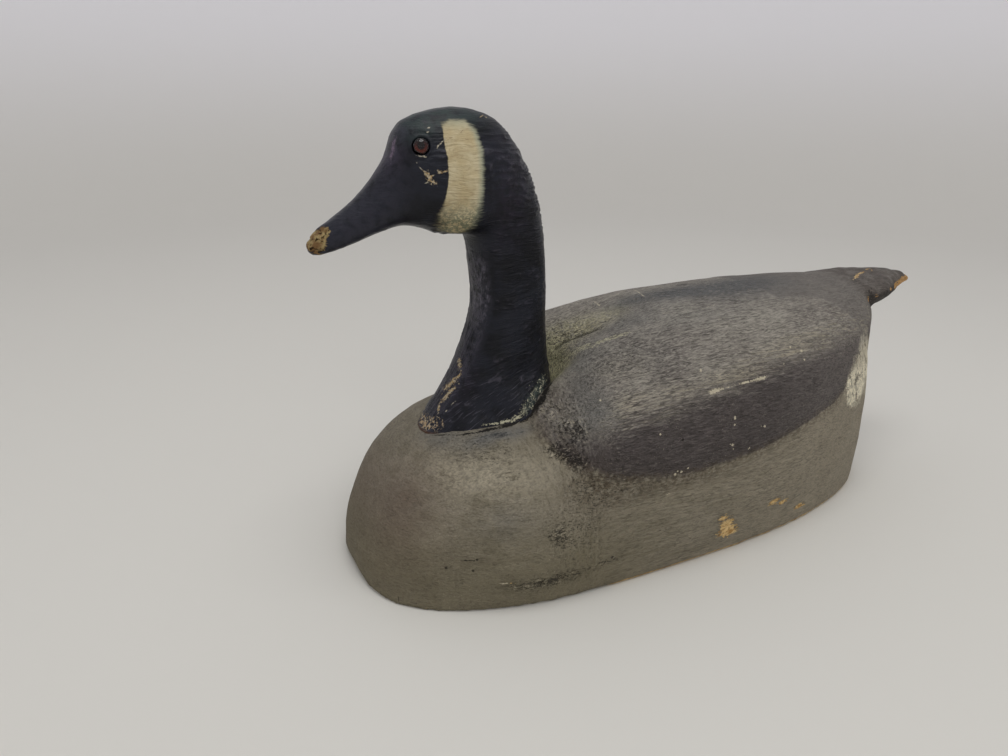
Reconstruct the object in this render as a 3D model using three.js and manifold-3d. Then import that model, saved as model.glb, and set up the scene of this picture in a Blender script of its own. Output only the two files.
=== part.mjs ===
// A carved and painted goose decoy. The wooden body has its tail left on it, the head and neck are one
// carving that stands on a flat seat cut into the breast, and two glass eyes sit in drilled sockets.
// Millimetres, +Z up, +X towards the bill and +Y to the goose's left. The origin is in the flat underside,
// half way between the breast and the rump.
import * as THREE from "three";
import { mergeVertices } from "three/addons/utils/BufferGeometryUtils.js";
import Module from "manifold-3d";

const wasm = await Module();
wasm.setup();

// Driving sizes of the body
const bodyLength = 445; // breast to rump, without the tail
const undersideWidth = 193;
const bodyHeight = 165; // underside to the highest point of the back
const toeLift = 3; // the rounded edge of the underside, right at the breast
const breastTuck = 6; // how far the hull leans in over that edge
const flankFlare = 5; // how far each flank stands out past the underside
const flankHollow = 3; // the dip in the flank below each shoulder
const wingRelief = 6; // how far the folded wings stand proud of the flanks
const wingEdge = 20; // height of the carved step along a wing's lower edge
const backHollow = 27; // half the width of the hollow between the shoulders
const rumpRecess = 8; // how far the stern is set back below the wing tips

// Driving sizes of the tail
const tailLength = 80; // past the rump
const tailWidth = 74; // at the rump
const tailThickness = 29; // at the rump
const tailInside = 45; // how far it runs on into the body

// Driving sizes of the head and neck
const headHeight = 196.5; // from the seat to the crown
const seatSlope = 8; // degrees, down towards the bill
const seatGap = 0.3; // between the foot and its seat
const footClearance = 0.6; // round the foot, where the seat is let into the breast
const seatAt = 0.272 * bodyLength; // middle of the foot, forward of the origin
const seatHeight = 0.603 * bodyHeight; // above the underside, at the middle of the foot

// Driving sizes of the glass eyes
const eyeDiameter = 9.5;
const eyeProud = 2.2; // how far the glass stands out of the head
const eyeDepth = 4; // how deep the glass sits in the head
const eyeGap = 0.3; // round and behind the glass in its socket

const wood = { color: 0x6a6459, roughness: 0.85, metalness: 0 };
const blackPaint = { color: 0x1c1c24, roughness: 0.6, metalness: 0 };
const amberGlass = { color: 0x3a1a0e, roughness: 0.08, metalness: 0 };

const { smoothstep, lerp, clamp, mapLinear, degToRad } = THREE.MathUtils;

// A closed solid through rings of points, the same number in each, with a flat fan over both ends.
function loft(rings) {
  const count = rings[0].length;
  const points = rings.flat();
  const faces = [];
  for (let i = 0; i + 1 < rings.length; i++) {
    for (let j = 0; j < count; j++) {
      const a = i * count + j;
      const b = i * count + ((j + 1) % count);
      const across = points[a].distanceTo(points[b + count]);
      const other = points[b].distanceTo(points[a + count]);
      if (across < other) faces.push(a, b, b + count, a, b + count, a + count);
      else faces.push(a, b, a + count, b, b + count, a + count);
    }
  }
  for (const [ring, turned] of [[0, true], [rings.length - 1, false]]) {
    const middle = rings[ring].reduce((sum, p) => sum.add(p), new THREE.Vector3()).divideScalar(count);
    const hub = points.push(middle) - 1;
    for (let j = 0; j < count; j++) {
      const a = ring * count + j;
      const b = ring * count + ((j + 1) % count);
      faces.push(...(turned ? [hub, b, a] : [hub, a, b]));
    }
  }
  const geometry = new THREE.BufferGeometry().setFromPoints(points);
  geometry.setIndex(faces);
  return geometry;
}

// The height of a smooth line through [place, height] points, at any place.
function lineThrough(points) {
  const curve = new THREE.SplineCurve(points.map(([place, height]) => new THREE.Vector2(place, height)));
  const drawn = curve.getPoints(points.length * 24);
  return (place) => {
    const i = drawn.findIndex((p) => p.x >= place);
    if (i <= 0) return i < 0 ? drawn.at(-1).y : drawn[0].y;
    return mapLinear(place, drawn[i - 1].x, drawn[i].x, drawn[i - 1].y, drawn[i].y);
  };
}

// The body's lines. A place is a share of its length from the breast, a height a share of its height.
const domeLine = lineThrough([
  [0, 0.12], [0.004, 0.15], [0.01, 0.195], [0.019, 0.255], [0.03, 0.318], [0.043, 0.38], [0.058, 0.438],
  [0.08, 0.5], [0.105, 0.55], [0.126, 0.578], [0.152, 0.602], [0.192, 0.621], [0.228, 0.632],
  [0.248, 0.658], [0.268, 0.715], [0.294, 0.8], [0.324, 0.883], [0.365, 0.932], [0.426, 0.964], [0.508, 0.99],
  [0.63, 1], [0.762, 1], [0.884, 0.99], [0.95, 0.972], [0.985, 0.94], [1, 0.88],
]);
const middleLine = lineThrough([
  [0.223, 0.618], [0.263, 0.628], [0.304, 0.643], [0.319, 0.651], [0.329, 0.68], [0.338, 0.79], [0.347, 0.839],
  [0.393, 0.882], [0.446, 0.93], [0.508, 0.984], [0.538, 1.013],
]);
const wingLine = lineThrough([
  [0.2, 0.6], [0.242, 0.568], [0.27, 0.527], [0.32, 0.488], [0.392, 0.455], [0.502, 0.441], [0.626, 0.479],
  [0.738, 0.592], [0.799, 0.665], [0.88, 0.735], [1, 0.8],
]);
const bilgeLine = lineThrough([[0, 0.11], [0.15, 0.17], [0.4, 0.26], [0.8, 0.3], [1, 0.3]]);
const roundness = lineThrough([[0, 2.2], [0.06, 2.5], [0.13, 2.5], [0.2, 2.4], [0.35, 2.35], [0.7, 2.5], [1, 3]]);
const wingProud = lineThrough([
  [0.232, 0], [0.254, 0.6], [0.278, 0.95], [0.33, 0.85], [0.4, 0.5], [0.5, 0.3], [0.7, 0.25], [0.85, 0.45],
  [0.93, 1.1], [0.97, 1.4], [1, 1.2],
]);

// A share of the half width, 1 at the widest point, that rounds to nothing at the breast and the rump.
const widestAt = 0.457;
function plan(u) {
  const power = u < widestAt ? 2.88 : 2.46;
  const v = u < widestAt ? (widestAt - u) / widestAt : (u - widestAt) / (1 - widestAt);
  return (1 - v ** power) ** (1 / power);
}

// A rounded bump of height 1 at a place, falling away to either side.
function bump(value, place, reach) {
  return Math.exp(-(((value - place) / reach) ** 2));
}

// One cross-section of the body, as [y, z] from the middle of the underside up the left side to the
// middle of the back. The points crowd together along the wing's lower edge.
function halfSection(u) {
  const foot = (undersideWidth / 2) * plan(u);
    const flare = flankFlare * (1 - 0.5 * smoothstep(u, 0.6, 0.9));
  const half = foot + lerp(-breastTuck, flare, smoothstep(u, 0.02, 0.2));
  const bottom = toeLift * (1 - smoothstep(u, 0, 0.012));
  const bilge = bodyHeight * bilgeLine(u);
  const top = bodyHeight * domeLine(u);
  const rise = top - bilge;
  const outline = [0, 0.5, 0.85].map((share) => [foot * share, bottom]);
  const sideSteps = 4;
  for (let k = 0; k < sideSteps; k++) {
    const t = k / sideSteps;
    outline.push([lerp(foot, half, Math.sin((t * Math.PI) / 2)), lerp(bottom, bilge, t)]);
  }
  const n = roundness(u);
  const angle = (share) => Math.asin(share ** (n / 2));
  const edge = clamp((bodyHeight * wingLine(u) - bilge) / rise, 0.1, 0.9);
  const overEdge = Math.min(edge + wingEdge / rise, 0.95);
  for (const [from, to, steps] of [[0, edge, 3], [edge, overEdge, 3], [overEdge, 1, 9]]) {
    for (let k = 0; k < steps; k++) {
      const a = lerp(angle(from), angle(to), k / steps);
      outline.push([half * Math.cos(a) ** (2 / n), bilge + rise * Math.sin(a) ** (2 / n)]);
    }
  }
  outline.push([0, top]);
  return outline.map(([y, z]) => carve(u, y, z));
}

// Moves a point of the plain hull to the carved surface. Along and up are shares of the body's length
// and height, as pairs of where a form is centred and how far it reaches, or where it starts and ends.
const flankDip = { along: [0.385, 0.045], up: [0.255, 0.135] };
const stern = { along: [0.92, 0.95], foot: [0.27, 0.36], top: [0.62, 0.72] };
const hollow = { from: 0.22, to: 0.53, shoulders: [0.31, 0.36], upFrom: 0.5 };
function carve(u, y, z) {
  const up = z / bodyHeight;
  const edge = bodyHeight * wingLine(u);
  const sideways = smoothstep(y, 0, 0.31 * undersideWidth);
  const wing = wingRelief * wingProud(u) * smoothstep(z, edge - 1, edge + wingEdge - 1);
  const dip = flankHollow * bump(u, ...flankDip.along) * bump(up, ...flankDip.up);
  const setBack = rumpRecess * smoothstep(u, ...stern.along) * smoothstep(up, ...stern.foot)
    * (1 - smoothstep(up, ...stern.top));
  const inHollow = u > hollow.from && u < hollow.to && up > hollow.upFrom;
  const depth = inHollow ? Math.max(bodyHeight * (domeLine(u) - middleLine(u)), 0) : 0;
  const power = lerp(3.4, 1.8, smoothstep(u, ...hollow.shoulders));
  const down = depth * Math.exp(-((y / backHollow) ** power));
  return [Math.max(y + (wing - dip) * sideways - setBack, 0), z - down];
}

// Where the cross-sections stand: close together over the breast, the shoulders and the rump.
function stations() {
  const places = [];
  for (const [from, to, steps, rounded] of [
    [0, 0.06, 9, true], [0.06, 0.24, 11], [0.24, 0.36, 18], [0.36, 0.94, 18], [0.94, 1, 7],
  ]) {
    for (let i = 0; i < steps; i++) {
      const t = i / steps;
      places.push(lerp(from, to, rounded ? 1 - Math.cos((t * Math.PI) / 2) : t));
    }
  }
  places.push(1);
  return places.map((u) => clamp(u, 0.0005, 0.9995));
}

function bodyBlank() {
  const rings = stations().map((u) => {
    const x = bodyLength * (0.5 - u);
    const side = halfSection(u);
    const left = side.map(([y, z]) => new THREE.Vector3(x, y, z));
    const right = side.slice(1, -1).map(([y, z]) => new THREE.Vector3(x, -y, z));
    return [...left, ...right.reverse()];
  });
  return loft(rings.reverse());
}

// The tail, a flat fan with a crowned top that thins towards its rounded tip. Places are shares of its
// length past the rump, and the lines are shares of the body's height, the tail's thickness and its width.
const tailTop = lineThrough([
  [-1, 0.97], [-0.3, 0.982], [0, 0.987], [0.3, 0.987], [0.6, 0.974], [0.83, 0.946], [1, 0.912],
]);
const tailDepth = lineThrough([[-1, 1.24], [0, 1], [0.3, 0.84], [0.6, 0.62], [0.85, 0.33], [1, 0.09]]);
const tailSpread = lineThrough([
  [-1, 1], [0, 1], [0.1, 0.94], [0.3, 0.74], [0.45, 0.57], [0.6, 0.42], [0.75, 0.27], [0.88, 0.15],
  [0.96, 0.075], [1, 0.02],
]);
function tailBlank() {
  const root = -bodyLength / 2;
  const steps = 14;
  const around = 24;
  const boxiness = 2.5;
  const rings = [];
  for (let i = 0; i <= steps; i++) {
    const past = lerp(-tailInside / tailLength, 0.999, Math.sin(((i / steps) * Math.PI) / 2));
    const half = (tailWidth / 2) * tailSpread(past);
    const deep = (tailThickness / 2) * tailDepth(past);
    const middle = bodyHeight * tailTop(past) - deep;
    const ring = ringOf(around, boxiness, (c, s) => {
      return new THREE.Vector3(root - past * tailLength, half * c, middle + deep * s);
    });
    rings.push(ring);
  }
  return loft(rings.reverse());
}

// A ring of points, from the two shares of a rounded box that grows boxier with its power.
function ringOf(count, power, point) {
  return Array.from({ length: count }, (_, j) => {
    const a = (j / count) * Math.PI * 2;
    const c = Math.sign(Math.cos(a)) * Math.abs(Math.cos(a)) ** (2 / power);
    const s = Math.sign(Math.sin(a)) * Math.abs(Math.sin(a)) ** (2 / power);
    return point(c, s);
  });
}

// The head and neck, as cuts from the back edge to the front edge. Places are shares of headHeight from
// the middle of the seat, and so are the half widths. Square says how boxy the section is, and cheek how
// far its widest part lies towards the front edge.
const cuts = [
  { back: [-0.245, -0.1], front: [0.31, -0.1], half: 0.145, square: 2.3, cheek: 0 },
  { back: [-0.228, 0.07], front: [0.198, 0.05], half: 0.13, square: 2.4, cheek: 0 },
  { back: [-0.21, 0.2], front: [0.11, 0.2], half: 0.118, square: 2.4, cheek: 0 },
  { back: [-0.202, 0.36], front: [0.052, 0.37], half: 0.11, square: 2.4, cheek: 0 },
  { back: [-0.193, 0.54], front: [0.063, 0.52], half: 0.11, square: 2.4, cheek: 0 },
  { back: [-0.163, 0.715], front: [0.075, 0.603], half: 0.12, square: 2.3, cheek: 0.05 },
  { back: [-0.106, 0.85], front: [0.1, 0.616], half: 0.134, square: 2.3, cheek: 0.1 },
  { back: [-0.016, 0.96], front: [0.15, 0.62], half: 0.14, square: 2.3, cheek: 0.14 },
  { back: [0.125, 0.995], front: [0.2, 0.63], half: 0.132, square: 2.3, cheek: 0.16 },
  { back: [0.283, 0.955], front: [0.255, 0.647], half: 0.11, square: 2.2, cheek: 0.16 },
  { back: [0.334, 0.858], front: [0.31, 0.652], half: 0.082, square: 2.2, cheek: 0.16 },
  { back: [0.406, 0.765], front: [0.387, 0.632], half: 0.063, square: 2.3, cheek: 0.2 },
  { back: [0.493, 0.695], front: [0.48, 0.6], half: 0.052, square: 2.4, cheek: 0.2 },
  { back: [0.56, 0.652], front: [0.554, 0.582], half: 0.04, square: 2.3, cheek: 0.1 },
  { back: [0.588, 0.616], front: [0.584, 0.592], half: 0.018, square: 2, cheek: 0 },
];

// The blank of the head and neck, grown all round by some room.
function headBlank(room) {
  const through = (x, y) => new THREE.SplineCurve(cuts.map((cut) => new THREE.Vector2(x(cut), y(cut))));
  const backEdge = through((cut) => cut.back[0], (cut) => cut.back[1]);
  const frontEdge = through((cut) => cut.front[0], (cut) => cut.front[1]);
  const girth = through((cut) => cut.half, (cut) => cut.square);
  const lean = through((cut) => cut.cheek, () => 0);
  const steps = 3 * (cuts.length - 1);
  const around = 32;
  const rings = [];
  for (let i = 0; i <= steps; i++) {
    const t = i / steps;
    const back = backEdge.getPoint(t).multiplyScalar(headHeight);
    const face = frontEdge.getPoint(t).multiplyScalar(headHeight);
    const { x: half, y: square } = girth.getPoint(t);
    const cheek = lean.getPoint(t).x;
    const middle = back.clone().add(face).divideScalar(2);
    const reach = face.clone().sub(back).divideScalar(2);
    reach.setLength(reach.length() + room);
    const ring = ringOf(around, square, (c, s) => {
      const y = (half * headHeight * (1 + cheek * c) + room) * s;
      return new THREE.Vector3(seatAt + middle.x + reach.x * c, y, seatHeight + middle.y + reach.y * c);
    });
    rings.push(ring);
  }
  return loft(rings);
}

function solidOf(geometry) {
  const bare = geometry.clone();
  bare.deleteAttribute("normal");
  bare.deleteAttribute("uv");
  const merged = mergeVertices(bare, 1e-4);
  return new wasm.Manifold(new wasm.Mesh({
    numProp: 3,
    vertProperties: merged.getAttribute("position").array,
    triVerts: new Uint32Array(merged.index.array),
  }));
}

function geometryOf(solid) {
  const { vertProperties, triVerts } = solid.getMesh();
  const geometry = new THREE.BufferGeometry();
  geometry.setAttribute("position", new THREE.BufferAttribute(vertProperties, 3));
  geometry.setIndex(new THREE.BufferAttribute(triVerts, 1));
  return geometry;
}

// Everything that lies below a plane over the seat, at a height above it.
function below(height) {
  const reach = 2 * bodyLength;
  const block = new THREE.BoxGeometry(reach, reach, reach).translate(0, 0, height - reach / 2);
  block.rotateY(degToRad(seatSlope)).translate(seatAt, 0, seatHeight);
  return solidOf(block);
}

// The eyes sit at shares of headHeight from the middle of the seat, and look a little forward and up.
const eyeAt = new THREE.Vector3(0.256, 0.0925, 0.888);
const eyeLook = new THREE.Vector3(0.29, 0.88, 0.37);

// Moves a shape that stands on the origin along +Y to the left eye's place, or for side -1 the right one's.
function placeAtEye(geometry, side) {
  const mirror = new THREE.Vector3(1, side, 1);
  const look = eyeLook.clone().multiply(mirror).normalize();
  const turn = new THREE.Quaternion().setFromUnitVectors(new THREE.Vector3(0, 1, 0), look);
  const place = eyeAt.clone().multiply(mirror).multiplyScalar(headHeight);
  return geometry.applyQuaternion(turn).translate(seatAt + place.x, place.y, seatHeight + place.z);
}

function eyeBlank(side) {
  const radius = eyeDiameter / 2;
  const curve = (radius ** 2 + eyeProud ** 2) / (2 * eyeProud);
  const halfAngle = Math.acos(1 - eyeProud / curve);
  const steps = 4;
  const profile = [new THREE.Vector2(0, -eyeDepth), new THREE.Vector2(radius, -eyeDepth)];
  for (let i = 0; i < steps; i++) {
    const a = halfAngle * (1 - i / steps);
    profile.push(new THREE.Vector2(curve * Math.sin(a), eyeProud - curve * (1 - Math.cos(a))));
  }
  profile.push(new THREE.Vector2(0, eyeProud));
  return placeAtEye(new THREE.LatheGeometry(profile, 20), side);
}

function socketBlank(side) {
  const radius = eyeDiameter / 2 + eyeGap;
  const bottom = -eyeDepth - eyeGap;
  const mouth = radius + eyeProud;
  const drill = new THREE.CylinderGeometry(radius, radius, mouth - bottom, 20);
  return placeAtEye(drill.translate(0, (mouth + bottom) / 2, 0), side);
}

function node(name, solid, finish) {
  const mesh = new THREE.Mesh(geometryOf(solid), new THREE.MeshStandardMaterial(finish));
  mesh.name = name;
  return mesh;
}

const seat = solidOf(headBlank(footClearance)).subtract(below(0));
const body = solidOf(bodyBlank()).add(solidOf(tailBlank())).subtract(seat);
const sides = { eye_left: 1, eye_right: -1 };
let head = solidOf(headBlank(0)).subtract(below(seatGap));
for (const side of Object.values(sides)) head = head.subtract(solidOf(socketBlank(side)));

const goose = new THREE.Group();
goose.add(node("body", body, wood));
goose.add(node("head_and_neck", head, blackPaint));
for (const [name, side] of Object.entries(sides)) goose.add(node(name, solidOf(eyeBlank(side)), amberGlass));

export default goose;
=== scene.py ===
import math
import bpy
import numpy as np
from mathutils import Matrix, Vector


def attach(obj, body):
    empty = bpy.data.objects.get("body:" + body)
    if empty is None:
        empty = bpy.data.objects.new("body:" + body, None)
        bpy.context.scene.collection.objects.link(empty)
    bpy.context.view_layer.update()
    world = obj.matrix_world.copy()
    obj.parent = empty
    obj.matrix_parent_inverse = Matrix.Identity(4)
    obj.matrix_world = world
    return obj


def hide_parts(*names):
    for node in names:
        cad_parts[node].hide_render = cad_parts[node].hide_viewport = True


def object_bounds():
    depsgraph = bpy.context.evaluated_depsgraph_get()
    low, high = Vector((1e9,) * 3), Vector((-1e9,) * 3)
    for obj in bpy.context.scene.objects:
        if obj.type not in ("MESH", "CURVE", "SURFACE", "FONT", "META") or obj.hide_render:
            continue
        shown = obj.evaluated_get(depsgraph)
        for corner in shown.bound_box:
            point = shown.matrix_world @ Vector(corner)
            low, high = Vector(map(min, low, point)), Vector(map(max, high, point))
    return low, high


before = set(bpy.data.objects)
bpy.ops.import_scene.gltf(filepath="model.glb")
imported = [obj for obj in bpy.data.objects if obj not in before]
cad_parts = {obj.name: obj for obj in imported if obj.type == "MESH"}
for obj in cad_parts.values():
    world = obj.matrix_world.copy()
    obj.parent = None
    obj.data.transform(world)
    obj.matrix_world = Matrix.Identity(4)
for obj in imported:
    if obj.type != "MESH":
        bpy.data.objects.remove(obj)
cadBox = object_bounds()
mm = 0.001
mergeDistance = 0.01 * mm


# Noise and fields on plain arrays of points, all in millimetres

# What turns the corners of a cell into values without a pattern
noiseKeys = {"steps": np.array([73856093, 19349663, 83492791]), "twist": 1274126177, "mask": 0xFFFFFF,
             "seedStep": 17.31}


# Smooth noise from -1 to 1. Size is one number, or three for a grain that runs along an axis.
def softNoise(points, size, seed):
    placed = points / np.array(size, float) + seed * noiseKeys["seedStep"]
    cell = np.floor(placed).astype(np.int64)
    part = placed - cell
    part = part * part * (3 - 2 * part)
    total = np.zeros(len(points))
    for corner in range(8):
        step = np.array([corner & 1, corner >> 1 & 1, corner >> 2 & 1])
        key = (cell + step) @ noiseKeys["steps"]
        value = ((key ^ (key >> 13)) * noiseKeys["twist"] & noiseKeys["mask"]) / noiseKeys["mask"]
        weight = np.where(step, part, 1 - part).prod(axis=1)
        total += value * weight
    return total * 2 - 1


def rise(value, low, high):
    share = np.clip((value - low) / (high - low), 0, 1)
    return share * share * (3 - 2 * share)


# Soft spots, each a middle, a reach along X, Y and Z, and a strength
def spots(points, places):
    total = np.zeros(len(points))
    for middle, reach, strength in places:
        away = (points - np.array(middle, float)) / np.array(reach, float)
        total += strength * np.exp(-(away ** 2).sum(axis=1))
    return total


# How far a point lies inside a drawn outline, and less than nothing outside it
def insideOutline(across, up, outline):
    corners = np.array(outline, float)
    nearest = np.full(len(across), np.inf)
    inside = np.zeros(len(across), bool)
    for i in range(len(corners)):
        ax, az = corners[i - 1]
        bx, bz = corners[i]
        lengthSquared = (bx - ax) ** 2 + (bz - az) ** 2
        share = np.clip(((across - ax) * (bx - ax) + (up - az) * (bz - az)) / lengthSquared, 0, 1)
        nearest = np.minimum(nearest, np.hypot(across - ax - share * (bx - ax), up - az - share * (bz - az)))
        if az != bz:
            crosses = (az > up) != (bz > up)
            inside ^= crosses & (across < ax + (up - az) / (bz - az) * (bx - ax))
    return np.where(inside, nearest, -nearest)


def heightAlong(line, x):
    places = np.array(sorted(line), float)
    return np.interp(x, places[:, 0], places[:, 1])


def pointsOf(piece):
    co = np.empty(len(piece.data.vertices) * 3)
    piece.data.vertices.foreach_get("co", co)
    return co.reshape(-1, 3) / mm


def normalsOf(piece):
    normals = np.empty(len(piece.data.vertices) * 3, np.float32)
    piece.data.vertices.foreach_get("normal", normals)
    return normals.reshape(-1, 3).astype(float)


def movePoints(piece, points):
    piece.data.vertices.foreach_set("co", (points * mm).ravel())
    piece.data.update()


# Moves soft patches of the surface: middle, reach along X, Y and Z, and the move
def nudge(piece, moves):
    p = pointsOf(piece)
    moved = p.copy()
    for middle, reach, shift in moves:
        moved += spots(p, [(middle, reach, 1)])[:, None] * np.array(shift, float)
    movePoints(piece, moved)


# Carving never reaches past the size of the solids
def pushOut(piece, height):
    movePoints(piece, pointsOf(piece) + normalsOf(piece) * height[:, None])
    low, high = (np.array(corner) / mm for corner in cadBox)
    movePoints(piece, np.clip(pointsOf(piece), low, high))


def keepFields(piece, fields):
    for name, values in fields.items():
        field = piece.data.attributes.new(name, "FLOAT", "POINT")
        field.data.foreach_set("value", values.astype(np.float32))


# Pieces

def pickOnly(piece):
    bpy.ops.object.select_all(action="DESELECT")
    piece.select_set(True)
    bpy.context.view_layer.objects.active = piece


# Leaves the piece in edit mode with just the chosen faces selected
def pickFaces(piece, choose):
    pickOnly(piece)
    bpy.ops.object.mode_set(mode="EDIT")
    bpy.ops.mesh.select_mode(type="FACE")
    bpy.ops.mesh.select_all(action="DESELECT")
    bpy.ops.object.mode_set(mode="OBJECT")
    for face in piece.data.polygons:
        face.select = choose(face)
    bpy.ops.object.mode_set(mode="EDIT")


def applyModifier(piece, kind, **settings):
    modifier = piece.modifiers.new(kind.lower(), kind)
    for key, value in settings.items():
        setattr(modifier, key, value)
    pickOnly(piece)
    bpy.ops.object.modifier_apply(modifier=modifier.name)


def copyOf(model, name):
    pickOnly(model)
    bpy.ops.object.duplicate()
    piece = bpy.context.view_layer.objects.active
    piece.name = name
    piece.data.name = name
    return piece


# A dense, smoothed copy of a solid, ready to be carved
def carvingBlank(node, name, cell, passes):
    piece = copyOf(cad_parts[node], name)
    for key in list(piece.keys()):
        if key.startswith("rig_"):
            del piece[key]
    piece.parent = None
    piece.data.materials.clear()
    bpy.ops.object.mode_set(mode="EDIT")
    bpy.ops.mesh.select_all(action="SELECT")
    bpy.ops.mesh.remove_doubles(threshold=mergeDistance)
    bpy.ops.object.mode_set(mode="OBJECT")
    applyModifier(piece, "REMESH", mode="VOXEL", voxel_size=cell * mm, adaptivity=0)
    applyModifier(piece, "SMOOTH", factor=0.5, iterations=passes)
    pickOnly(piece)
    bpy.ops.object.shade_smooth()
    return piece


def settle(piece, node, material):
    piece.data.materials.clear()
    piece.data.materials.append(material)
    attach(piece, "root")
    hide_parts(node)


# Material nodes

def paint(red, green, blue):
    return tuple(((c / 255 + 0.055) / 1.055) ** 2.4 if c > 10 else c / 3295 for c in (red, green, blue)) + (1,)


# How the edges of marks break up, as a share of their half width, and the noise that does it
markEdge = {"far": 9.0, "outside": 1.1, "inside": 0.7, "wobble": 5, "noise": (1.4, 3.0, 0.7)}


# A material and its nodes. The look holds its colours, its noises and its marks.
class Finish:
    def __init__(self, name, look):
        self.look = look
        self.colours = {key: paint(*value) for key, value in look.get("colours", {}).items()}
        self.material = bpy.data.materials.new(name)
        self.material.use_nodes = True
        self.tree = self.material.node_tree
        self.shader = self.tree.nodes["Principled BSDF"]
        self.position = self.node("ShaderNodeTexCoord").outputs["Object"]
        self.x, _, self.z = self.node("ShaderNodeSeparateXYZ", {0: self.position}).outputs

    def node(self, kind, inputs=None, **settings):
        node = self.tree.nodes.new(kind)
        for key, value in settings.items():
            setattr(node, key, value)
        for key, value in (inputs or {}).items():
            if isinstance(value, bpy.types.NodeSocket):
                self.tree.links.new(value, node.inputs[key])
            else:
                node.inputs[key].default_value = value
        return node

    def math(self, operation, a, b=0.0, clamp=False):
        return self.node("ShaderNodeMath", {0: a, 1: b}, operation=operation, use_clamp=clamp).outputs[0]

    def plus(self, a, b):
        return self.math("ADD", a, b)

    def times(self, a, b):
        return self.math("MULTIPLY", a, b)

    def most(self, a, b):
        return self.math("MAXIMUM", a, b)

    def minus(self, a, b):
        return self.math("SUBTRACT", a, b)

    # A share of a mask, which stays between 0 and 1
    def part(self, mask, share):
        return self.math("MULTIPLY", mask, share, clamp=True)

    # A base and weighted values on top of it
    def total(self, base, *pairs):
        for value, weight in pairs:
            base = self.plus(base, self.times(value, weight))
        return base

    # Noise as a wander to both sides of nothing, and as thin lines where it crosses its middle
    def swing(self, noise, reach):
        return self.times(self.minus(noise, 0.5), reach)

    def crossing(self, noise, wide, thin):
        return self.step(self.math("ABSOLUTE", self.minus(noise, 0.5)), wide, thin)

    def field(self, name):
        return self.node("ShaderNodeAttribute", attribute_name=name).outputs["Fac"]

    # Noise around 0.5 whose marks have a size in millimetres along each axis
    def noise(self, size, detail=2.0, roughness=0.5, distortion=0.0, shift=0.0):
        sizes = size if isinstance(size, tuple) else (size, size, size)
        scale = tuple(1 / mm / s for s in sizes)
        placed = self.node("ShaderNodeMapping", {"Vector": self.position, "Scale": scale,
                                                 "Location": (shift, shift * 1.7, shift * 0.6)})
        inputs = {"Vector": placed.outputs[0], "Scale": 1.0, "Detail": detail, "Roughness": roughness,
                  "Distortion": distortion}
        return self.node("ShaderNodeTexNoise", inputs).outputs["Fac"]

    def grain(self, name):
        return self.noise(*self.look["noises"][name])

    # From 0 at low to 1 at high, or the other way round
    def step(self, value, low, high):
        inputs = {"Value": value, "From Min": low, "From Max": high}
        return self.node("ShaderNodeMapRange", inputs, interpolation_type="SMOOTHSTEP").outputs[0]

    # The same along X and along Z, in millimetres
    def stepX(self, low, high):
        return self.step(self.x, low * mm, high * mm)

    def stepZ(self, low, high):
        return self.step(self.z, low * mm, high * mm)

    def blend(self, share, a, b):
        return self.node("ShaderNodeMix", {0: share, 2: a, 3: b}, data_type="FLOAT").outputs[0]

    # Colours are sockets, or names in the look
    def mix(self, share, a, b, blend="MIX"):
        a, b = (self.colours[colour] if isinstance(colour, str) else colour for colour in (a, b))
        return self.node("ShaderNodeMix", {0: share, 6: a, 7: b}, data_type="RGBA", blend_type=blend).outputs[2]

    # One colour laid over another, or over the whole coat, where a mask says so
    def over(self, under, colour, mask, share=None):
        return self.mix(mask if share is None else self.part(mask, share), under, colour)

    def lay(self, colour, mask, share=None):
        self.coat = self.over(self.coat, colour, mask, share)

    def give(self, **sockets):
        for name, value in sockets.items():
            socket = self.shader.inputs[name.replace("_", " ")]
            if isinstance(value, bpy.types.NodeSocket):
                self.tree.links.new(value, socket)
            else:
                socket.default_value = value

    def bump(self, height, depth):
        inputs = {"Height": height, "Strength": 1.0, "Distance": depth * mm}
        return self.node("ShaderNodeBump", inputs).outputs[0]

    # Thin marks from the look, each from a start to an end with a half width, in millimetres
    def marks(self, name, rag):
        nearest = markEdge["far"]
        for start, end, width in self.look["marks"][name]:
            along = Vector(end) - Vector(start)
            placed = self.node("ShaderNodeMapping", {
                "Vector": self.position, "Location": (Vector(start) + Vector(end)) * 0.5 * mm,
                "Rotation": along.to_track_quat("X", "Z").to_euler(),
                "Scale": Vector((along.length * 0.5 + width, width, width)) * mm}, vector_type="TEXTURE")
            far = self.node("ShaderNodeVectorMath", {0: placed.outputs[0]}, operation="LENGTH").outputs["Value"]
            nearest = self.math("MINIMUM", nearest, far)
        return self.ragged(nearest, rag)

    # Small dots from the look, each a middle and a reach
    def dots(self, name, rag):
        nearest = markEdge["far"]
        for middle, reach in self.look["marks"][name]:
            ends = {0: self.position, 1: Vector(middle) * mm}
            away = self.node("ShaderNodeVectorMath", ends, operation="DISTANCE").outputs["Value"]
            nearest = self.math("MINIMUM", nearest, self.math("DIVIDE", away, reach * mm))
        return self.ragged(nearest, rag)

    def ragged(self, nearest, rag):
        wobble = self.swing(self.noise(*markEdge["noise"]), rag * markEdge["wobble"])
        return self.step(self.plus(nearest, wobble), markEdge["outside"], markEdge["inside"])


print("helpers ready")

# Camera, at the photograph's viewing angle

cameraView = {"place": (0.329, 0.432, 0.2987), "turn": (69.637, -0.344, 153.128), "lens": 26.79, "sensor": 36}
bpy.ops.object.camera_add(location=cameraView["place"], rotation=[math.radians(a) for a in cameraView["turn"]])
camera = bpy.context.object
camera.data.sensor_width = cameraView["sensor"]
camera.data.lens = cameraView["lens"]
bpy.context.scene.camera = camera

# Pale floor that sweeps up all round, and soft light from above

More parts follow.
